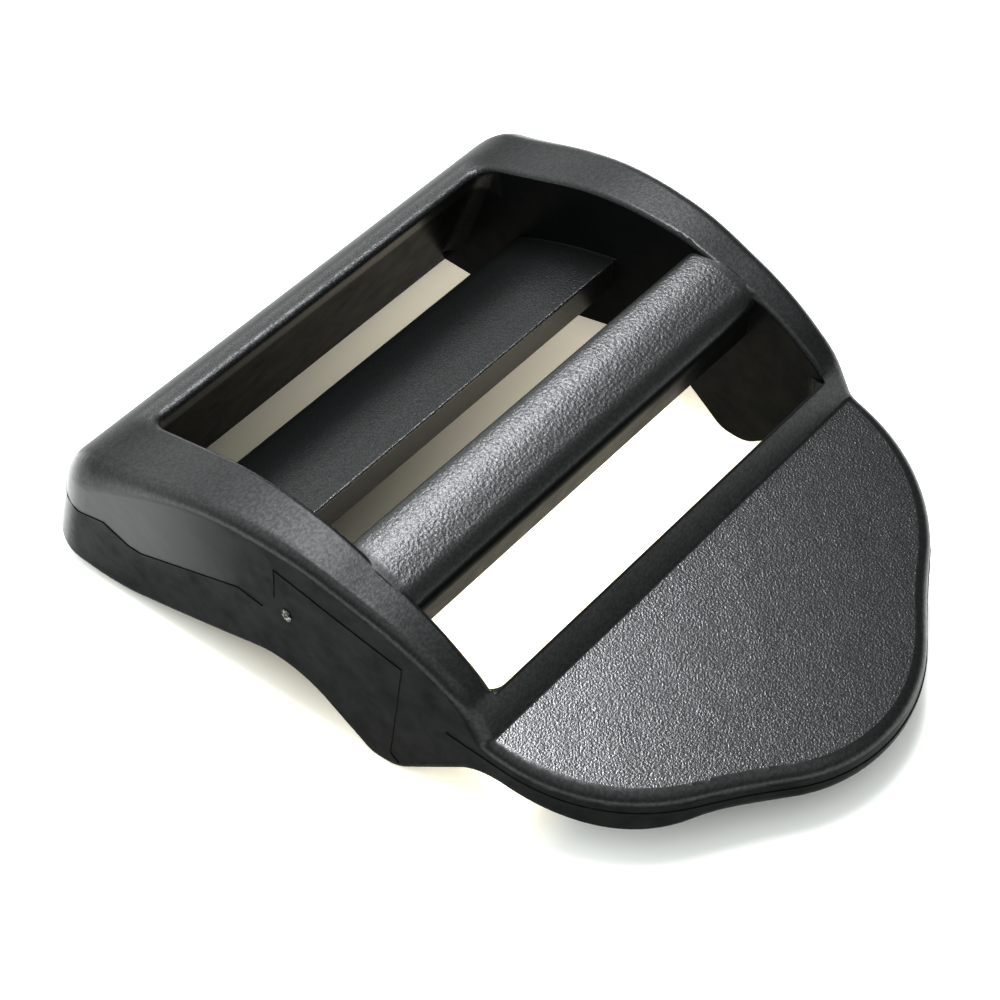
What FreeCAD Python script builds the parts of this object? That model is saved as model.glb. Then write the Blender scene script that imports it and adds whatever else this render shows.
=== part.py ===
"""Ladder-lock webbing slider with a thumb tab, moulded in one piece.

The frame stands on its rear foot and on two small lobes under the side rails.
Origin: centre of the length and width, on the floor. +Y to the rear, the tab at -Y, +Z up, millimetres.
"""
import FreeCAD, Part
import math
import os
import Sketcher

doc = FreeCAD.newDocument("ladder_lock")

# ---------------------------------------- driving dimensions
# "..._set" is a distance forward of the rear foot edge, "..._z" a height over the floor,
# "..._x" a half width and "..._r" the radius that rounds a corner.
DIMENSIONS = {
    "middle_set": 37.14,
    "slot_width": 40.0,
    "blank_height": 22.0,
    "margin": 5.0, "bar_overlap": 0.5,
    # plan outline: on the floor, and at the blank's top
    "nose_set": 76.92, "nose_r": 14.0,
    "flank_set": 68.09, "flank_x": 12.22, "flank_r": 60.0,
    "lobe_set": 62.04, "lobe_x": 22.07, "lobe_r": 17.0,
    "waist_set": 41.0, "waist_x": 25.15, "waist_r": 400.0,
    "corner_x": 29.13, "corner_foot_r": 5.5, "corner_top_r": 5.0,
    "side_flare": 1.5, "rear_lean": 9.17,
    # arched top, front to rear
    "tab_slope": 9.57,
    "crease_set": 52.6, "crease_z": 11.0, "crease_r": 0.4,
    "ramp_set": 50.87, "ramp_z": 14.8, "ramp_r": 6.0,
    "brow_set": 45.73, "brow_z": 18.6, "brow_r": 20.0,
    "crown_front_set": 36.14, "crown_front_r": 19.0,
    "crown_rear_set": 27.22, "crown_rear_r": 30.0,
    "crown_z": 21.38,
    "rim_set": 8.42, "rim_z": 14.79, "rim_r": 11.5, "rim_fall": 1.28,
    # underside, front to rear
    "belly_set": 51.67, "belly_z": 7.09, "belly_r": 5.0,
    "lobe_front_set": 43.23, "lobe_front_r": 3.2,
    "lobe_rear_set": 40.52, "lobe_rear_r": 2.2,
    "bridge_set": 33.09, "bridge_z": 6.57, "bridge_r": 7.5,
    "foot_set": 11.2, "foot_r": 20.0,
    # window between the rails, square at its rear foot, and the shallow ledge along its front edge
    "window_front_set": 51.35, "window_corner_r": 1.4, "square_foot_z": 2.5,
    "window_foot_set": 5.0, "window_lean": 0.4686,
    "ledge_width": 0.25, "ledge_z": 13.35,
    # anchor bar section, clockwise from its sharp front edge
    "anchor_lip_set": 28.5, "anchor_lip_z": 14.1,
    "anchor_mid_set": 22.1, "anchor_mid_z": 12.3, "anchor_mid_r": 40.0,
    "anchor_back_set": 15.84, "anchor_back_z": 9.48, "anchor_back_r": 6.0,
    "anchor_tail_set": 12.8, "anchor_tail_z": 5.0, "anchor_tail_r": 1.2,
    "anchor_toe_set": 27.2, "anchor_toe_z": 9.2, "anchor_toe_r": 0.6,
    "anchor_lip_depth": 0.35, "anchor_lip_step": 0.25,
    # grip bar section, clockwise from its upper rear corner
    "grip_rear_set": 36.3, "grip_rear_z": 20.1, "grip_rear_r": 1.4,
    "grip_crown_set": 39.8, "grip_crown_z": 20.5, "grip_crown_r": 8.0,
    "grip_front_set": 44.35, "grip_front_z": 18.9, "grip_front_r": 2.2,
    "grip_chin_set": 42.8, "grip_chin_z": 13.1, "grip_chin_r": 1.0,
    "grip_belly_set": 37.6, "grip_belly_z": 13.8, "grip_belly_r": 1.5,
    # edge radii
    "top_edge_r": 1.2, "top_rear_edge_r": 3.0, "foot_edge_r": 0.6, "foot_rear_edge_r": 1.8,
    "soften_from_set": 20.0, "soften_to_set": 7.0, "window_edge_r": 0.45,
    "tip_under_edge_r": 1.6, "tip_from_set": 66.0, "tip_to_set": 73.0,
}

sheet = doc.addObject("Spreadsheet::Sheet", "dims")
for row, (alias, value) in enumerate(DIMENSIONS.items(), start=1):
    sheet.set(f"A{row}", alias)
    sheet.set(f"B{row}", str(value))
    sheet.setAlias(f"B{row}", alias)
doc.recompute()


def along(setback):
    """Expression for the Y of a point that lies a named distance forward of the rear foot edge."""
    return f"dims.middle_set - {setback}"


# ---------------------------------------- sketch helpers
def new_sketch(body, name, role, offset=None):
    """Add a sketch on one of the body's own origin planes, raised by an expression if one is given."""
    plane = next(feature for feature in body.Origin.OriginFeatures if feature.Role == role)
    sketch = body.newObject("Sketcher::SketchObject", name)
    sketch.AttachmentSupport = [(plane, "")]
    sketch.MapMode = "FlatFace"
    if offset:
        sketch.setExpression("AttachmentOffset.Base.z", offset)
    return sketch


def bind(sketch, label, expression, *reference):
    """Add a dimensional constraint whose value follows an expression of the sheet."""
    value = sketch.evalExpression(expression)
    index = sketch.addConstraint(Sketcher.Constraint(*reference, value))
    sketch.renameConstraint(index, label)
    sketch.setExpression(f"Constraints.{label}", expression)


def rounded_outline(sketch, corners):
    """Draw a closed polygon with rounded corners; each corner is (name, x, y, radius or None)."""
    points = [FreeCAD.Vector(sketch.evalExpression(x), sketch.evalExpression(y), 0) for _, x, y, _ in corners]
    radii = [sketch.evalExpression(radius) if radius else 0.0 for _, _, _, radius in corners]
    count = len(corners)
    arrivals, departures, centres = [], [], []
    for index in range(count):
        corner = points[index]
        back = (points[index - 1] - corner).normalize()
        ahead = (points[(index + 1) % count] - corner).normalize()
        half_angle = back.getAngle(ahead) / 2
        trim = radii[index] / math.tan(half_angle)
        arrivals.append(corner + back * trim)
        departures.append(corner + ahead * trim)
        centres.append(corner + (back + ahead).normalize() * (radii[index] / math.sin(half_angle)))
    for index in range(count):
        straight = arrivals[(index + 1) % count] - departures[index]
        side = points[(index + 1) % count] - points[index]
        if straight.dot(side) <= 0:
            raise ValueError(f"{sketch.Name}: the roundings after {corners[index][0]} overlap")
    lines = [
        sketch.addGeometry(Part.LineSegment(departures[index], arrivals[(index + 1) % count]))
        for index in range(count)
    ]
    for index, (name, x, y, radius) in enumerate(corners):
        line_in, line_out = lines[index - 1], lines[index]
        if radius is None:
            sketch.addConstraint(Sketcher.Constraint("Coincident", line_in, 2, line_out, 1))
            vertex = line_out
        else:
            vertex = sketch.addGeometry(Part.Point(points[index]), True)
            centre = centres[index]
            start = arrivals[index] - centre
            end = departures[index] - centre
            turns_left = start.cross(end).z > 0
            if not turns_left:
                start, end = end, start
            circle = Part.Circle(centre, FreeCAD.Vector(0, 0, 1), radii[index])
            arc = sketch.addGeometry(
                Part.ArcOfCircle(circle, math.atan2(start.y, start.x), math.atan2(end.y, end.x))
            )
            first, last = (1, 2) if turns_left else (2, 1)
            sketch.addConstraint(Sketcher.Constraint("Tangent", line_in, 2, arc, first))
            sketch.addConstraint(Sketcher.Constraint("Tangent", arc, last, line_out, 1))
            sketch.addConstraint(Sketcher.Constraint("PointOnObject", vertex, 1, line_in))
            sketch.addConstraint(Sketcher.Constraint("PointOnObject", vertex, 1, line_out))
            bind(sketch, f"{name}_radius", radius, "Radius", arc)
        bind(sketch, f"{name}_across", x, "DistanceX", -1, 1, vertex, 1)
        bind(sketch, f"{name}_up", y, "DistanceY", -1, 1, vertex, 1)


def across(body, kind, name, corners, width):
    """Extrude a YZ outline symmetrically in X: a Pad adds it to the body, a Pocket cuts it."""
    sketch = new_sketch(body, name + "_outline", "YZ_Plane")
    rounded_outline(sketch, corners)
    feature = body.newObject("PartDesign::" + kind, name)
    feature.Profile = sketch
    feature.SideType = "Symmetric"
    feature.setExpression("Length", width)
    doc.recompute()
    return feature


# ---------------------------------------- edge helpers
FLAT = 1e-6
CLOSE = 1e-3


def spans_width(face):
    """True for a face extruded along X, whose normal has no X component."""
    u_low, u_high, v_low, v_high = face.ParameterRange
    u_spots = [u_low + (u_high - u_low) * share for share in (0.2, 0.8)]
    v_spots = [v_low + (v_high - v_low) * share for share in (0.2, 0.8)]
    return all(abs(face.normalAt(u, v).x) < FLAT for u in u_spots for v in v_spots)


def edge_numbers(shape, wanted):
    """Numbers of the edges for which wanted(edge, its faces) is true."""
    return [
        number
        for number, edge in enumerate(shape.Edges, start=1)
        if wanted(edge, shape.ancestorsOfType(edge, Part.Face))
    ]


def joins_wall(_edge, faces):
    """True where a face extruded along X meets a side wall."""
    return len(faces) == 2 and spans_width(faces[0]) != spans_width(faces[1])


def round_edges(body, name, radius, wanted):
    """Round the chosen edges of the body's last feature with one radius."""
    base = body.Tip
    fillet = body.newObject("PartDesign::Fillet", name)
    fillet.Base = (base, [f"Edge{number}" for number in edge_numbers(base.Shape, wanted)])
    fillet.setExpression("Radius", radius)
    doc.recompute()
    return fillet


# ---------------------------------------- blank: plan outline, flared to the floor
SIDE_SLOPE = "(dims.corner_x - dims.waist_x) / dims.waist_set"
FLANK_SLOPE = "(dims.nose_set - dims.flank_set) / dims.flank_x"


def plan_corners(level, flare, lean):
    """Corners of the plan outline, from the nose round the right side to the left.

    Upwards the sides move in by the flare and the rear by the lean, and every straight keeps its direction.
    """
    right = [
        ("flank", f"dims.flank_x - {flare}", along("dims.flank_set"), "dims.flank_r"),
        ("lobe", f"dims.lobe_x - {flare}", along("dims.lobe_set"), "dims.lobe_r"),
        ("waist", f"dims.waist_x - {flare}", along("dims.waist_set"), "dims.waist_r"),
        ("corner", f"dims.corner_x - {flare} - {lean} * {SIDE_SLOPE}", along(lean), f"dims.corner_{level}_r"),
    ]
    left = [(name + "_left", f"-({x})", y, radius) for name, x, y, radius in reversed(right)]
    return [("nose", "0", along(f"(dims.nose_set - {flare} * {FLANK_SLOPE})"), "dims.nose_r")] + right + left


blank_body = doc.addObject("PartDesign::Body", "blank_body")
foot_plan = new_sketch(blank_body, "foot_plan", "XY_Plane")
rounded_outline(foot_plan, plan_corners("foot", "0", "0"))
top_plan = new_sketch(blank_body, "top_plan", "XY_Plane", "dims.blank_height")
rounded_outline(top_plan, plan_corners("top", "dims.side_flare", "dims.rear_lean"))
blank = blank_body.newObject("PartDesign::AdditiveLoft", "blank")
blank.Profile = foot_plan
blank.Sections = [top_plan]
blank.Ruled = True
doc.recompute()

# ---------------------------------------- arched top and tab
BEYOND_NOSE = along("(dims.nose_set + dims.margin)")
SKY = "(dims.blank_height + dims.margin)"
TAB_FALL = "(dims.nose_set + dims.margin - dims.{0}_set) * tan(dims.tab_slope * 1 deg)"
RIM_END = along("(dims.rim_set - dims.rim_z / dims.rim_fall)")
above_arch = [
    ("tab_end", BEYOND_NOSE, "dims.crease_z - " + TAB_FALL.format("crease"), None),
    ("crease", along("dims.crease_set"), "dims.crease_z", "dims.crease_r"),
    ("ramp", along("dims.ramp_set"), "dims.ramp_z", "dims.ramp_r"),
    ("brow", along("dims.brow_set"), "dims.brow_z", "dims.brow_r"),
    ("crown_front", along("dims.crown_front_set"), "dims.crown_z", "dims.crown_front_r"),
    ("crown_rear", along("dims.crown_rear_set"), "dims.crown_z", "dims.crown_rear_r"),
    ("rim", along("dims.rim_set"), "dims.rim_z", "dims.rim_r"),
    ("rim_end", RIM_END, "0", None),
    ("rear_sky", RIM_END, SKY, None),
    ("front_sky", BEYOND_NOSE, SKY, None),
]
BLANK_WIDTH = "2 * dims.corner_x + dims.margin"
arch_cut = across(blank_body, "Pocket", "arch_cut", above_arch, BLANK_WIDTH)

# ---------------------------------------- underside: tab, lobes, bridge and rear foot
below_frame = [
    ("tab_belly_end", BEYOND_NOSE, "dims.belly_z - " + TAB_FALL.format("belly"), None),
    ("belly", along("dims.belly_set"), "dims.belly_z", "dims.belly_r"),
    ("lobe_front", along("dims.lobe_front_set"), "0", "dims.lobe_front_r"),
    ("lobe_rear", along("dims.lobe_rear_set"), "0", "dims.lobe_rear_r"),
    ("bridge", along("dims.bridge_set"), "dims.bridge_z", "dims.bridge_r"),
    ("foot", along("dims.foot_set"), "0", "dims.foot_r"),
    ("foot_end", along("0"), "0", None),
    ("rear_ground", along("0"), "-dims.margin", None),
    ("front_ground", BEYOND_NOSE, "-dims.margin", None),
]
underside_cut = across(blank_body, "Pocket", "underside_cut", below_frame, BLANK_WIDTH)


# ---------------------------------------- outer edges, softer towards the rear
def share_along(point, start, end):
    """How far a point lies from one named setback to another, held between 0 and 1."""
    start_y = sheet.evalExpression(along(start))
    end_y = sheet.evalExpression(along(end))
    return min(max((point.y - start_y) / (end_y - start_y), 0.0), 1.0)


def edge_radius(point):
    """Radius of an outer edge at a point: softer towards the rear, and under the tip of the tab."""
    edge = "foot" if point.z < sheet.evalExpression("dims.belly_z") + CLOSE else "top"
    small = sheet.evalExpression(f"dims.{edge}_edge_r")
    rear = sheet.evalExpression(f"dims.{edge}_rear_edge_r")
    radius = small + (rear - small) * share_along(point, "dims.soften_from_set", "dims.soften_to_set")
    if edge == "foot":
        tip = sheet.evalExpression("dims.tip_under_edge_r")
        radius += (tip - small) * share_along(point, "dims.tip_from_set", "dims.tip_to_set")
    return radius


def end_radii(number):
    """An outer edge's number, and its radius at either end."""
    edge = underside_cut.Shape.Edges[number - 1]
    return number, edge_radius(edge.firstVertex(True).Point), edge_radius(edge.lastVertex(True).Point)


softened_blank = doc.addObject("Part::Fillet", "softened_blank")
softened_blank.Base = blank_body
softened_blank.Edges = [end_radii(number) for number in edge_numbers(underside_cut.Shape, joins_wall)]
doc.recompute()
buckle = doc.addObject("PartDesign::Body", "ladder_lock_buckle")
buckle.BaseFeature = softened_blank
doc.recompute()

# ---------------------------------------- window between the rails
WINDOW_BOTTOM = "-dims.margin"
WINDOW_FRONT = along("(dims.window_front_set - dims.ledge_width)")


def rear_wall(height):
    """Expression for the Y of the window's leaning rear wall at a height."""
    return along(f"(dims.window_foot_set + {height} * dims.window_lean)")


window = [
    ("front_low", WINDOW_FRONT, WINDOW_BOTTOM, None),
    ("rear_low", rear_wall(WINDOW_BOTTOM), WINDOW_BOTTOM, None),
    ("rear_high", rear_wall(SKY), SKY, None),
    ("front_high", WINDOW_FRONT, SKY, None),
]
across(buckle, "Pocket", "window", window, "dims.slot_width")

half_slot = sheet.evalExpression("dims.slot_width / 2")
rim_front = sheet.evalExpression(along("dims.crown_rear_set"))
rim_floor = sheet.evalExpression("dims.rim_z")
STEEP = 0.8
CORNER_REACH = 4.0
RIM_REACH = 5.0


def in_window_side(edge):
    """True for an edge that lies in one of the two sides of the window."""
    return abs(abs(edge.CenterOfMass.x) - half_slot) < CLOSE


def rear_corner(edge, _faces):
    """True for the two edges where the sides of the window meet its leaning rear wall."""
    rises = abs(edge.tangentAt(edge.FirstParameter).z) > STEEP and edge.Length > CORNER_REACH
    return in_window_side(edge) and rises and edge.CenterOfMass.y > rim_front


def window_rim(edge, faces):
    """True for the inner top edge of each rail near the rear rim; the rounding runs on from there."""
    middle = edge.CenterOfMass
    near_rim = middle.y > rim_front + RIM_REACH and middle.z > rim_floor
    return in_window_side(edge) and near_rim and sum(spans_width(face) for face in faces) == 1


round_edges(buckle, "window_corners", "dims.window_corner_r", rear_corner)
round_edges(buckle, "window_rim", "dims.window_edge_r", window_rim)

# ---------------------------------------- front corners: low rounded webs, and a ledge
WEB_FRONT = along("dims.window_front_set")
WEB_BACK = along("(dims.window_front_set - 2 * dims.ledge_width - dims.window_corner_r)")
WEB_SIDE = "(dims.slot_width / 2 + dims.bar_overlap)"
web_plan = new_sketch(buckle, "web_plan", "XY_Plane", "dims.ledge_z")
rounded_outline(web_plan, [
    ("front_left", "-" + WEB_SIDE, WEB_FRONT, None),
    ("front_right", WEB_SIDE, WEB_FRONT, None),
    ("side_right", WEB_SIDE, WEB_BACK, None),
    ("back_right", "dims.slot_width / 2", WEB_BACK, None),
    ("web_right", "dims.slot_width / 2", WINDOW_FRONT, "dims.window_corner_r"),
    ("web_left", "-dims.slot_width / 2", WINDOW_FRONT, "dims.window_corner_r"),
    ("back_left", "-dims.slot_width / 2", WEB_BACK, None),
    ("side_left", "-" + WEB_SIDE, WEB_BACK, None),
])
corner_webs = buckle.newObject("PartDesign::Pad", "corner_webs")
corner_webs.Profile = web_plan
corner_webs.Reversed = True
corner_webs.setExpression("Length", "dims.ledge_z - dims.belly_z")
doc.recompute()
ledge = [
    ("ledge_front", along("dims.window_front_set"), "dims.ledge_z", None),
    ("ledge_rear", WINDOW_FRONT, "dims.ledge_z", None),
    ("ledge_rear_high", WINDOW_FRONT, SKY, None),
    ("ledge_front_high", along("dims.window_front_set"), SKY, None),
]
across(buckle, "Pocket", "ledge", ledge, "dims.slot_width")

# ---------------------------------------- rear corners: square at the foot of the window
PAST_CORNERS = along("(dims.window_foot_set + 2 * dims.window_corner_r)")
square_foot = [
    ("wall_low", rear_wall(WINDOW_BOTTOM), WINDOW_BOTTOM, None),
    ("wall_high", rear_wall("dims.square_foot_z"), "dims.square_foot_z", None),
    ("open_high", PAST_CORNERS, "dims.square_foot_z", None),
    ("open_low", PAST_CORNERS, WINDOW_BOTTOM, None),
]
across(buckle, "Pocket", "square_foot", square_foot, "dims.slot_width")

# ---------------------------------------- anchor bar: a slanted wedge with a sharp lip
anchor = [
    ("lip", along("dims.anchor_lip_set"), "dims.anchor_lip_z", None),
    ("mid", along("dims.anchor_mid_set"), "dims.anchor_mid_z", "dims.anchor_mid_r"),
    ("back", along("dims.anchor_back_set"), "dims.anchor_back_z", "dims.anchor_back_r"),
    ("tail", along("dims.anchor_tail_set"), "dims.anchor_tail_z", "dims.anchor_tail_r"),
    ("toe", along("dims.anchor_toe_set"), "dims.anchor_toe_z", "dims.anchor_toe_r"),
    ("face", along("(dims.anchor_lip_set - dims.anchor_lip_step)"),
     "dims.anchor_lip_z - dims.anchor_lip_depth", None),
    ("lip_under", along("dims.anchor_lip_set"), "dims.anchor_lip_z - dims.anchor_lip_depth", None),
]
across(buckle, "Pad", "anchor_bar", anchor, "dims.slot_width + 2 * dims.bar_overlap")

# ---------------------------------------- grip bar: a rounded wedge flush with the arch
grip = [
    ("rear", along("dims.grip_rear_set"), "dims.grip_rear_z", "dims.grip_rear_r"),
    ("crown", along("dims.grip_crown_set"), "dims.grip_crown_z", "dims.grip_crown_r"),
    ("front", along("dims.grip_front_set"), "dims.grip_front_z", "dims.grip_front_r"),
    ("chin", along("dims.grip_chin_set"), "dims.grip_chin_z", "dims.grip_chin_r"),
    ("belly", along("dims.grip_belly_set"), "dims.grip_belly_z", "dims.grip_belly_r"),
]
across(buckle, "Pad", "grip_bar", grip, "dims.slot_width + 2 * dims.bar_overlap")

# ---------------------------------------- check and export
for item in doc.Objects:
    if "Invalid" in item.State or "Error" in item.State:
        raise RuntimeError(f"{item.Name} failed to build: {item.State}")
buckle.Label = "ladder_lock_buckle"
shape = buckle.Shape
if shape.isNull() or not shape.isValid() or len(shape.Solids) != 1:
    raise RuntimeError("ladder_lock_buckle is not one valid solid")
os.makedirs("parts", exist_ok=True)
shape.exportStep("parts/ladder_lock_buckle.step")
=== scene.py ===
"""Looks of the ladder lock buckle: a moulded black acetal strap adjuster on a white table."""
import math
import random

import bmesh
import bpy
from mathutils import Matrix, Vector

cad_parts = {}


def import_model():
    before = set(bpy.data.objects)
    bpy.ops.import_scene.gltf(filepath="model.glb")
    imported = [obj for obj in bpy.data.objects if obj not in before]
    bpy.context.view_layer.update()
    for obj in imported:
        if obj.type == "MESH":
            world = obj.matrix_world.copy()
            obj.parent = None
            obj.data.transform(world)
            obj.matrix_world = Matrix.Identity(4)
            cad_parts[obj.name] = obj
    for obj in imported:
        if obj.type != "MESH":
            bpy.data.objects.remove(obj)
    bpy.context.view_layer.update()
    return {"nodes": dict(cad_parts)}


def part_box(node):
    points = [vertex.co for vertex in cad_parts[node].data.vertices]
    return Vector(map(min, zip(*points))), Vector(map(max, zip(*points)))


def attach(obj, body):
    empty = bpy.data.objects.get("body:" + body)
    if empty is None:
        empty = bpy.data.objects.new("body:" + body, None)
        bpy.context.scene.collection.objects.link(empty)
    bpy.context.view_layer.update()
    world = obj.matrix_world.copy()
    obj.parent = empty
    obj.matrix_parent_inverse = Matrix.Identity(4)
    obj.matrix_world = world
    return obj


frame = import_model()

MM = 0.001
NODE = "ladder_lock_buckle"
TIP_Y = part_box(NODE)[0].y / MM

# ---------------------------------------- places on the buckle, in millimetres
# A "run" is a distance behind the tip of the thumb tab.
CREASE_RUN = 20.8
RISER_TOP_RUN = 21.95
GRIP_FRONT_RUN = 28.2
GRIP_REAR_RUN = 38.2
ANCHOR_LIP_RUN = 44.82
REAR_GRAIN_RUN = 55.0
REAR_RIM_RUN = (59.0, 63.5)
ANCHOR_REAR_RUN = 62.0
HALF_SLOT = 20.0
# Parting line: round the rear wall, along the side wall as (run, height) points, and round the tab.
SEAM_REAR_Z = 8.9
SIDE_SEAM = [(64.5, 8.9), (61.2, 9.7), (58.5, 8.5), (57.0, 8.5), (45.0, 12.8), (42.5, 12.3)]
TAB_SEAM_Z = 9.25
TAB_SLOPE = math.tan(math.radians(9.57))
SEAM_RADIUS = 0.075
# Gate pad: its outline on the left wall as (run, height) points, and the gate mark on it.
PAD_SEAM = [(40.9, 14.6), (40.3, 18.3), (34.0, 16.6), (28.2, 15.0), (30.6, 2.1), (29.8, 1.2)]
PAD_RADIUS = 0.07
GATE_RUN, GATE_Z = 39.85, 13.1
GATE_SIZE = (0.2, 0.5, 0.6)
GATE_RAGGEDNESS = 0.2

# ---------------------------------------- finishes
# Grain of each finish: the width and the height of its features in millimetres.
GRAIN = {
    "tab": (0.17, 0.03),
    "grip": (0.27, 0.05),
    "anchor": (0.2, 0.035),
    "arch": (0.2, 0.016),
    "rear_wall": (0.22, 0.014),
}
RIPPLE_WIDTH, RIPPLE_HEIGHT = 3.0, 0.03
SPECK_WIDTH, BLOTCH_WIDTH, MOTTLE_WIDTH = 0.13, 0.3, 2.5
PLAIN_ROUGHNESS = 0.3
EXTRA_ROUGHNESS = {"grip": 0.12, "arch": 0.2, "outer_wall": 0.1, "ledge": 0.4}
# Strength of the reflections. A pair is the least and the most that specks, blotches or mottling give.
GRAIN_GLOSS = (0.42, 0.82)
TAB_EXTRA_GLOSS, GRIP_EXTRA_GLOSS = 0.14, 0.12
SMOOTH_GLOSS = (0.38, 0.54)
WALL_GLOSS = (0.0, 0.07)
WORN_EDGE_GLOSS = (0.3, 0.85)
SHINY_WALL_GLOSS, LEDGE_GLOSS, LIP_FACE_GLOSS = 0.28, 0.25, 0.25
# Share of the smooth gloss that is left on the rear rim, and the runs between which it falls to that.
RIM_DULLING, RIM_DULLING_RUN = 0.42, (54.0, 64.0)
SHINY_WALL_RUN = (42.0, 58.0)
HAZE, HAZE_RUN = 0.22, (62.0, 67.0)
# How far edges are shaded round, in millimetres: everywhere, and more on the rear rim and the anchor lip.
EDGE_EASE, RIM_EXTRA_EASE, LIP_EXTRA_EASE = 0.12, 0.78, 0.2
# How much a face must point upwards to count as part of a finish: from none of it to all of it.
TAB_TOP_FACES = (0.955, 0.975)
GRIP_TOP_FACES = (0.72, 0.93)
ANCHOR_TOP_FACES = (0.5, 0.7)
ARCH_FACES = (0.3, 0.6)
WALL_FACES = (0.6, 0.2)
BLACK = (0.0065, 0.0075, 0.0075, 1)


# ---------------------------------------- node helpers
class Graph:
    """A short way to write shader nodes: every call adds one node and returns its first output."""

    def __init__(self, tree):
        self.tree = tree
        tree.nodes.clear()

    def node(self, kind, inputs=(), **settings):
        made = self.tree.nodes.new(kind)
        for key, value in settings.items():
            setattr(made, key, value)
        for key, value in dict(inputs).items():
            socket = made.inputs[key]
            if isinstance(value, bpy.types.NodeSocket):
                self.tree.links.new(value, socket)
            else:
                socket.default_value = value
        return made

    def math(self, operation, *values, clamp=False):
        made = self.node("ShaderNodeMath", dict(enumerate(values)), operation=operation, use_clamp=clamp)
        return made.outputs[0]

    def add(self, *values):
        total = values[0]
        for value in values[1:]:
            total = self.math("ADD", total, value)
        return total

    def times(self, *values):
        product = values[0]
        for value in values[1:]:
            product = self.math("MULTIPLY", product, value)
        return product

    def step(self, value, start, end):
        """0 before start, 1 after end, and a smooth ramp between."""
        low, high = (start, end) if start < end else (end, start)
        first, last = (0.0, 1.0) if start < end else (1.0, 0.0)
        inputs = {"Value": value, "From Min": low, "From Max": high, "To Min": first, "To Max": last}
        return self.node("ShaderNodeMapRange", inputs, interpolation_type="SMOOTHSTEP").outputs[0]

    def between(self, value, start, end, blur):
        """1 inside a range, 0 outside it, with blurred ends."""
        rise = self.step(value, start - blur, start + blur)
        fall = self.step(value, end + blur, end - blur)
        return self.times(rise, fall)

    def path(self, value, points):
        """Height of a line of straight pieces through (value, height) points, level beyond its ends."""
        height = points[0][1]
        for (start, low), (end, high) in zip(points, points[1:]):
            inputs = {"Value": value, "From Min": start, "From Max": end, "To Min": 0.0, "To Max": high - low}
            height = self.add(height, self.node("ShaderNodeMapRange", inputs).outputs[0])
        return height

    def noise(self, place, size, detail=2.0, roughness=0.5):
        """Noise from 0 to 1 whose features are about size millimetres across."""
        inputs = {"Vector": place, "Scale": 1 / size, "Detail": detail, "Roughness": roughness}
        return self.node("ShaderNodeTexNoise", inputs).outputs["Fac"]

    def mix(self, share, first, second):
        """A number that goes from first to second as share goes from 0 to 1."""
        made = self.node("ShaderNodeMix", {0: share, 2: first, 3: second}, data_type="FLOAT")
        return made.outputs[0]


def new_material(name):
    material = bpy.data.materials.new(name)
    material.use_nodes = True
    return material, Graph(material.node_tree)


# ---------------------------------------- moulded acetal
def object_mm(g):
    """The shaded point's place on the buckle, in millimetres."""
    place = g.node("ShaderNodeTexCoord").outputs["Object"]
    return g.node("ShaderNodeVectorMath", {0: place, "Scale": 1 / MM}, operation="SCALE").outputs[0]


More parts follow.
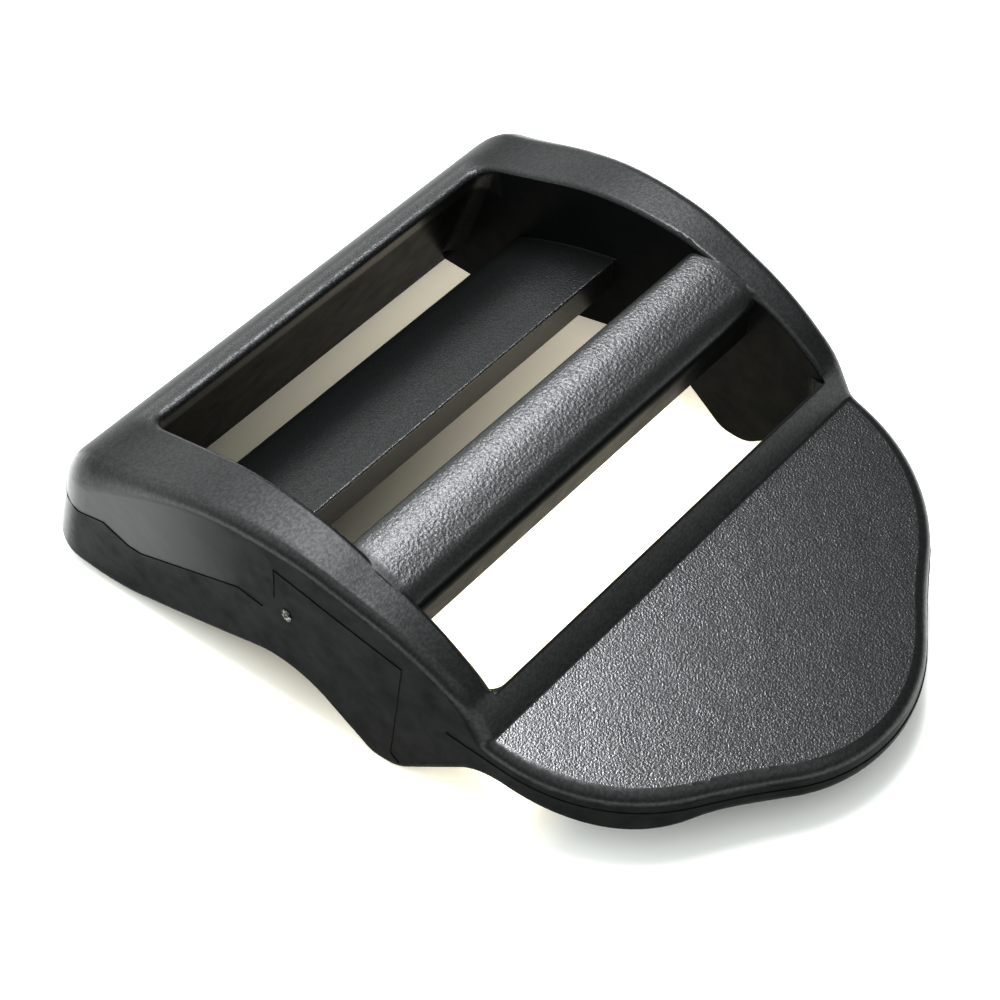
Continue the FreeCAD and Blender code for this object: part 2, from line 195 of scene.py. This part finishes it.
class Skin:
    """The shaded point of the moulding: where it is, which way it faces, and which finishes it has."""

    def __init__(self, g):
        self.mm = object_mm(g)
        place = g.node("ShaderNodeSeparateXYZ", {0: self.mm})
        self.aside = g.math("ABSOLUTE", place.outputs[0])
        self.run = g.math("SUBTRACT", place.outputs[1], TIP_Y)
        self.z = place.outputs[2]
        facing = g.node("ShaderNodeSeparateXYZ", {0: g.node("ShaderNodeNewGeometry").outputs["Normal"]})
        self.side_on = g.math("ABSOLUTE", facing.outputs[0])
        self.backward = facing.outputs[1]
        self.upward = facing.outputs[2]
        self.on = self.finishes(g)

    def finishes(self, g):
        """The share of each finish, from 0 to 1."""
        run, aside = self.run, self.aside
        between_rails = g.times(
            g.step(aside, HALF_SLOT + 0.1, HALF_SLOT - 0.5), g.step(self.side_on, 0.5, 0.2)
        )
        on = {}
        on["tab"] = g.times(
            g.step(run, CREASE_RUN + 0.05, CREASE_RUN - 0.05), g.step(self.upward, *TAB_TOP_FACES)
        )
        on["grip"] = g.times(
            between_rails,
            g.between(run, GRIP_FRONT_RUN, GRIP_REAR_RUN, 0.1),
            g.step(self.upward, *GRIP_TOP_FACES),
        )
        on["anchor"] = g.times(
            between_rails,
            g.between(run, GRIP_REAR_RUN, ANCHOR_REAR_RUN, 0.1),
            g.step(self.upward, *ANCHOR_TOP_FACES),
        )
        on["bars"] = g.math("ADD", on["grip"], on["anchor"], clamp=True)
        on["grained"] = g.math("ADD", on["tab"], g.add(on["grip"], on["anchor"]), clamp=True)
        on["arch"] = g.times(
            g.step(run, CREASE_RUN + 3.0, CREASE_RUN + 6.0),
            g.step(self.side_on, 0.35, 0.1),
            g.step(self.upward, *ARCH_FACES),
            g.math("SUBTRACT", 1.0, on["bars"]),
        )
        on["ledge"] = g.times(between_rails, g.between(run, RISER_TOP_RUN, GRIP_FRONT_RUN - 2.0, 0.04))
        on["lip"] = g.times(
            between_rails,
            g.between(run, ANCHOR_LIP_RUN, ANCHOR_LIP_RUN + 0.35, 0.1),
            g.step(self.z, 13.3, 13.6),
        )
        on["lip_face"] = g.times(
            between_rails,
            g.between(run, ANCHOR_LIP_RUN, ANCHOR_LIP_RUN + 1.6, 0.1),
            g.step(self.upward, 0.3, 0.1),
        )
        on["rear_rim_edge"] = g.times(
            g.between(run, *REAR_RIM_RUN, 0.4), g.step(self.z, 13.2, 14.2), g.step(aside, 21.0, 19.0)
        )
        on["outer_wall"] = g.times(
            g.step(aside, HALF_SLOT + 0.5, HALF_SLOT + 0.8), g.step(self.upward, *WALL_FACES)
        )
        on["rear_wall"] = g.times(
            g.step(run, REAR_GRAIN_RUN, REAR_GRAIN_RUN + 8.0),
            g.step(self.side_on, 0.0, 0.3),
            on["outer_wall"],
        )
        return on


def relief(g, skin):
    """Shading normals: eased edges, then the grain of each finish and a slow ripple everywhere."""
    heights = []
    for finish, (width, height) in GRAIN.items():
        heights.append(g.times(g.noise(skin.mm, width, 1.0), skin.on[finish], height))
    heights.append(g.times(g.noise(skin.mm, RIPPLE_WIDTH), RIPPLE_HEIGHT))
    ease = g.add(
        EDGE_EASE * MM,
        g.times(skin.on["rear_rim_edge"], RIM_EXTRA_EASE * MM),
        g.times(skin.on["lip"], LIP_EXTRA_EASE * MM),
    )
    eased = g.node("ShaderNodeBevel", {"Radius": ease}, samples=6).outputs[0]
    inputs = {"Height": g.add(*heights), "Strength": 1.0, "Distance": MM, "Normal": eased}
    return g.node("ShaderNodeBump", inputs).outputs[0]


def gloss(g, skin):
    """Strength of the reflections: specked on grain and worn edges, blotchy on the arch, faint on walls."""
    specks = g.step(g.noise(skin.mm, SPECK_WIDTH, 1.0), 0.4, 0.62)
    blotches = g.step(g.noise(skin.mm, BLOTCH_WIDTH, 2.0, 0.6), 0.35, 0.65)
    mottle = g.noise(skin.mm, MOTTLE_WIDTH, 3.0, 0.65)

    above_seam = g.step(g.math("SUBTRACT", skin.z, g.path(skin.run, SIDE_SEAM[::-1])), -0.3, 0.3)
    on_shiny_wall = g.times(g.step(skin.run, *SHINY_WALL_RUN), above_seam, skin.on["outer_wall"])
    wall = g.mix(on_shiny_wall, g.mix(mottle, *WALL_GLOSS), SHINY_WALL_GLOSS)

    grained = g.add(
        g.mix(specks, *GRAIN_GLOSS),
        g.times(skin.on["tab"], TAB_EXTRA_GLOSS),
        g.times(skin.on["grip"], GRIP_EXTRA_GLOSS),
    )
    rim_dulling = g.mix(g.step(skin.run, *RIM_DULLING_RUN), 1.0, RIM_DULLING)
    smooth = g.times(g.mix(blotches, *SMOOTH_GLOSS), rim_dulling)
    top = g.mix(skin.on["grained"], g.mix(skin.on["ledge"], smooth, LEDGE_GLOSS), grained)

    side = g.mix(skin.on["lip_face"], wall, LIP_FACE_GLOSS)
    plain = g.mix(g.step(skin.upward, 0.15, 0.4), side, top)
    on_worn_edge = g.math("ADD", skin.on["lip"], skin.on["rear_rim_edge"], clamp=True)
    return g.mix(on_worn_edge, plain, g.mix(specks, *WORN_EDGE_GLOSS))


def acetal():
    """The moulding's black plastic, with a light haze on the rear rim."""
    material, g = new_material("black_acetal")
    skin = Skin(g)
    extra_roughness = [g.times(skin.on[finish], extra) for finish, extra in EXTRA_ROUGHNESS.items()]
    rear_haze = g.times(
        g.step(skin.run, *HAZE_RUN),
        g.step(skin.upward, 0.9, 0.65),
        g.step(skin.backward, -0.05, 0.3),
        HAZE,
    )
    shader = g.node(
        "ShaderNodeBsdfPrincipled",
        {
            "Base Color": BLACK,
            "Roughness": g.add(PLAIN_ROUGHNESS, *extra_roughness),
            "Specular IOR Level": gloss(g, skin),
            "Normal": relief(g, skin),
            "Sheen Weight": rear_haze,
            "Sheen Roughness": 0.4,
        },
    )
    g.node("ShaderNodeOutputMaterial", {0: shader.outputs[0]})
    return material


body = frame["nodes"][NODE]
body.data.materials.clear()
body.data.materials.append(acetal())


# ---------------------------------------- parting line and gate mark
RAY_LENGTH = 80.0
TAB_CENTRE_RUN = 14.0
LOBE_RUNS = (24.5, 23.5, 22.5, 21.5, 20.5, 19.5)
LOBE_END_RUN = 19.0
REAR_CORNER_RUN = 63.5
TORN_DARK, TORN_LIGHT = (0.012, 0.013, 0.011, 1), (0.3, 0.31, 0.27, 1)
SEAM_DARK, SEAM_LIGHT = (0.002, 0.0025, 0.0025, 1), (0.006, 0.0065, 0.006, 1)


def run_of(place):
    """How far a point lies behind the tip of the tab, in millimetres."""
    return place.y / MM - TIP_Y


def skin_point(x, run, z, angle):
    """Where a level ray towards (x, run, z) meets the moulding; angle 0 comes from +X, 90 from the rear."""
    outward = Vector((math.cos(math.radians(angle)), math.sin(math.radians(angle)), 0))
    start = Vector((x, TIP_Y + run, z)) * MM + outward * RAY_LENGTH * MM
    found, place, _normal, _face = body.ray_cast(start, -outward)
    if not found:
        raise ValueError(f"no surface at run {run}, height {z}")
    return place


def along_points(points, spacing=0.8):
    """Evenly spaced (run, z) points along a line of straight pieces."""
    spaced = [points[0]]
    for (run, z), (next_run, next_z) in zip(points, points[1:]):
        count = max(1, round(math.hypot(next_run - run, next_z - z) / spacing))
        spaced += [
            (run + (next_run - run) * i / count, z + (next_z - z) * i / count) for i in range(1, count + 1)
        ]
    return spaced


def tab_seam_z(run):
    """Height of the parting line on the tab's edge, parallel to the sloping top."""
    return TAB_SEAM_Z - (CREASE_RUN - run) * TAB_SLOPE


def tab_seam():
    """The parting line round the edge of the tab, from one lobe to the other."""
    left = [skin_point(0, run, tab_seam_z(run), 180) for run in LOBE_RUNS]
    right = [Vector((-place.x, place.y, place.z)) for place in reversed(left)]
    sweep = []
    for angle in range(170, 371, 4):
        # The line's height depends on where it meets the edge, so it is found in three rounds.
        run = 9.0
        for _ in range(3):
            place = skin_point(0, TAB_CENTRE_RUN, tab_seam_z(run), angle)
            run = run_of(place)
        sweep.append(place)
    return left + [place for place in sweep if run_of(place) < LOBE_END_RUN] + right


def side_seam(side):
    """The parting line from the middle of the rear wall, round the corner and along one side wall."""
    across = [skin_point(side * x, REAR_CORNER_RUN, SEAM_REAR_Z, 90) for x in range(0, 21, 2)]
    facing = 0 if side > 0 else 180
    turns = [90 + (facing - 90) * share / 8 for share in range(1, 8)]
    corner = [skin_point(side * HALF_SLOT, REAR_CORNER_RUN, SEAM_REAR_Z, turn) for turn in turns]
    wall = [skin_point(0, run, z, facing) for run, z in along_points(SIDE_SEAM)]
    return across + corner + wall


def ridge(name, lines, radius, material):
    """Fine round ridges along lines of points, half sunk in the surface."""
    curve = bpy.data.curves.new(name, "CURVE")
    curve.dimensions = "3D"
    curve.bevel_depth = radius
    curve.bevel_resolution = 1
    curve.use_fill_caps = True
    for points in lines:
        spline = curve.splines.new("POLY")
        spline.points.add(len(points) - 1)
        for point, place in zip(spline.points, points):
            point.co = (*place, 1)
    drawn = bpy.data.objects.new(name + "_curve", curve)
    bpy.context.scene.collection.objects.link(drawn)
    mesh = bpy.data.meshes.new_from_object(drawn.evaluated_get(bpy.context.evaluated_depsgraph_get()))
    bpy.data.objects.remove(drawn)
    return mesh_piece(name, mesh, material)


def mesh_piece(name, mesh, material):
    mesh.materials.clear()
    mesh.materials.append(material)
    piece = bpy.data.objects.new(name, mesh)
    bpy.context.scene.collection.objects.link(piece)
    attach(piece, "root")
    return piece


def gate_mark():
    """The torn stub where the moulding was broken off its runner: a low, ragged mound."""
    centre = skin_point(0, GATE_RUN, GATE_Z, 180)
    shape = bmesh.new()
    bmesh.ops.create_uvsphere(shape, u_segments=20, v_segments=12, radius=1.0)
    chance = random.Random(4)
    for vertex in shape.verts:
        vertex.co *= 1 + chance.uniform(-GATE_RAGGEDNESS, GATE_RAGGEDNESS)
        vertex.co = vertex.co * Vector(GATE_SIZE) * MM + centre
    mesh = bpy.data.meshes.new("gate_mark")
    shape.to_mesh(mesh)
    shape.free()
    return mesh_piece("gate_mark", mesh, TORN)


def raw_acetal(name, dark, light, size, gloss):
    """Acetal with a torn or cut skin: a colour that wanders from dark to light over size millimetres."""
    material, g = new_material(name)
    share = g.step(g.noise(object_mm(g), size), 0.4, 0.65)
    tint = g.node("ShaderNodeMix", {0: share, 6: dark, 7: light}, data_type="RGBA").outputs[2]
    bump = g.node("ShaderNodeBump", {"Height": share, "Strength": 0.3, "Distance": 0.05 * MM}).outputs[0]
    inputs = {"Base Color": tint, "Roughness": 0.5, "Specular IOR Level": gloss, "Normal": bump}
    g.node("ShaderNodeOutputMaterial", {0: g.node("ShaderNodeBsdfPrincipled", inputs).outputs[0]})
    return material


SEAM = raw_acetal("parting_line", SEAM_DARK, SEAM_LIGHT, 1.5, 0.05)
TORN = raw_acetal("torn_gate", TORN_DARK, TORN_LIGHT, 0.3, 0.5)
gate_pad = [skin_point(0, run, z, 180) for run, z in along_points(PAD_SEAM)]
ridge("parting_line", [side_seam(1), side_seam(-1), tab_seam()], SEAM_RADIUS * MM, SEAM)
ridge("gate_pad_outline", [gate_pad], PAD_RADIUS * MM, SEAM)
gate_mark()


# ---------------------------------------- floor, light and camera
FLOOR_SIZE = 3
WHITE = (0.95, 0.95, 0.93, 1)
# Painted light and shade: under the buckle the floor is warm white and glows, tinting the shade there warm
# and brightening the floor seen through the slots.
PAINTED_WARM_LIGHT = (0.97, 0.9, 0.75, 1)
# The floor under the buckle glows a little, for the light the photo has there. Each pair of places, in
# metres, goes from none of the glow to all of it.
GLOW_ASIDE = (30 * MM, 20 * MM)
GLOW_FRONT, GLOW_REAR = (-22 * MM, -14 * MM), (38 * MM, 30 * MM)
GLOW_EVERYWHERE, GLOW_EXTRA = 0.04, 0.6
EXTRA_TO_THE_RIGHT, EXTRA_TO_THE_FRONT = (-14 * MM, 34 * MM), (6 * MM, -6 * MM)
SKY_COLOR = (0.97, 1, 0.99, 1)
SKY_EVERYWHERE, SKY_LEFT, SKY_BACK = 0.45, 1.8, 1.25
KEY_LIGHT = {
    "place": (0.115, 0.14, 0.46),
    "width": 0.1,
    "length": 0.45,
    "power": 5.0,
    "color": (0.96, 0.97, 1.0),
}
CAMERA = {
    "target": (-4.34 * MM, 0.43 * MM, 10 * MM),
    "distance": 155.11 * MM,
    "azimuth": -40.62,
    "elevation": 51.09,
    "roll": -7.81,
    "lens": 67.34,
}
VIEW_GAMMA = 0.75


def floor():
    """A white table with painted light under the buckle: a warm tint and a glow."""
    bpy.ops.mesh.primitive_plane_add(size=FLOOR_SIZE, location=(0, 0, 0))
    plane = bpy.context.object
    plane.name = "floor"
    material, g = new_material("white_table_painted_glow")
    place = g.node("ShaderNodeTexCoord").outputs["Object"]
    parts = g.node("ShaderNodeSeparateXYZ", {0: place})
    x, y = parts.outputs[0], parts.outputs[1]
    # Painted light: the floor glows and is tinted warm under the buckle, with more glow towards the right and
    # the front.
    across = g.step(g.math("ABSOLUTE", x), *GLOW_ASIDE)
    along = g.times(g.step(y, *GLOW_FRONT), g.step(y, *GLOW_REAR))
    under = g.times(across, along)
    glow = g.add(
        GLOW_EVERYWHERE,
        g.times(g.step(x, *EXTRA_TO_THE_RIGHT), GLOW_EXTRA),
        g.times(g.step(y, *EXTRA_TO_THE_FRONT), GLOW_EXTRA),
    )
    tint = g.node("ShaderNodeMix", {0: under, 6: WHITE, 7: PAINTED_WARM_LIGHT}, data_type="RGBA").outputs[2]
    shader = g.node(
        "ShaderNodeBsdfPrincipled",
        {
            "Base Color": tint,
            "Roughness": 0.8,
            "Emission Color": tint,
            "Emission Strength": g.times(under, glow),
        },
    )
    g.node("ShaderNodeOutputMaterial", {0: shader.outputs[0]})
    plane.data.materials.append(material)


def world():
    """A white room, brightest overhead on the left and behind the buckle."""
    made = bpy.data.worlds.new("studio")
    made.use_nodes = True
    g = Graph(made.node_tree)
    parts = g.node("ShaderNodeSeparateXYZ", {0: g.node("ShaderNodeTexCoord").outputs["Generated"]})
    x, y, z = parts.outputs[0], parts.outputs[1], parts.outputs[2]
    lift = g.step(z, 0.1, 0.9)
    left = g.step(x, 0.5, 0.0)
    back = g.times(g.step(y, 0.2, 0.95), g.step(x, 0.8, 0.2))
    strength = g.add(SKY_EVERYWHERE, g.times(lift, left, SKY_LEFT), g.times(back, SKY_BACK))
    shader = g.node("ShaderNodeBackground", {"Color": SKY_COLOR, "Strength": strength})
    g.node("ShaderNodeOutputWorld", {0: shader.outputs[0]})
    bpy.context.scene.world = made


def softbox(name, place, width, length, power, color):
    """A rectangular lamp that points at the origin."""
    light = bpy.data.lights.new(name, "AREA")
    light.shape = "RECTANGLE"
    light.size = width
    light.size_y = length
    light.energy = power
    light.color = color
    made = bpy.data.objects.new(name, light)
    made.location = place
    made.rotation_euler = (-Vector(place)).to_track_quat("-Z", "Y").to_euler()
    bpy.context.scene.collection.objects.link(made)


def camera(target, distance, azimuth, elevation, roll, lens):
    """A camera that looks at target from a distance, azimuth measured from -Y towards +X."""
    made = bpy.data.objects.new("camera", bpy.data.cameras.new("camera"))
    turn, lift = math.radians(azimuth), math.radians(elevation)
    away = Vector((math.sin(turn) * math.cos(lift), -math.cos(turn) * math.cos(lift), math.sin(lift)))
    look = (-away).to_track_quat("-Z", "Y").to_matrix().to_4x4()
    made.matrix_world = Matrix.Translation(Vector(target) + away * distance) @ look @ Matrix.Rotation(
        math.radians(roll), 4, "Z"
    )
    made.data.lens = lens
    made.data.sensor_width = 36
    made.data.clip_start = 0.01
    bpy.context.scene.collection.objects.link(made)
    bpy.context.scene.camera = made


floor()
world()
softbox("key", **KEY_LIGHT)
camera(**CAMERA)
view = bpy.context.scene.view_settings
view.view_transform = "Standard"
view.gamma = VIEW_GAMMA
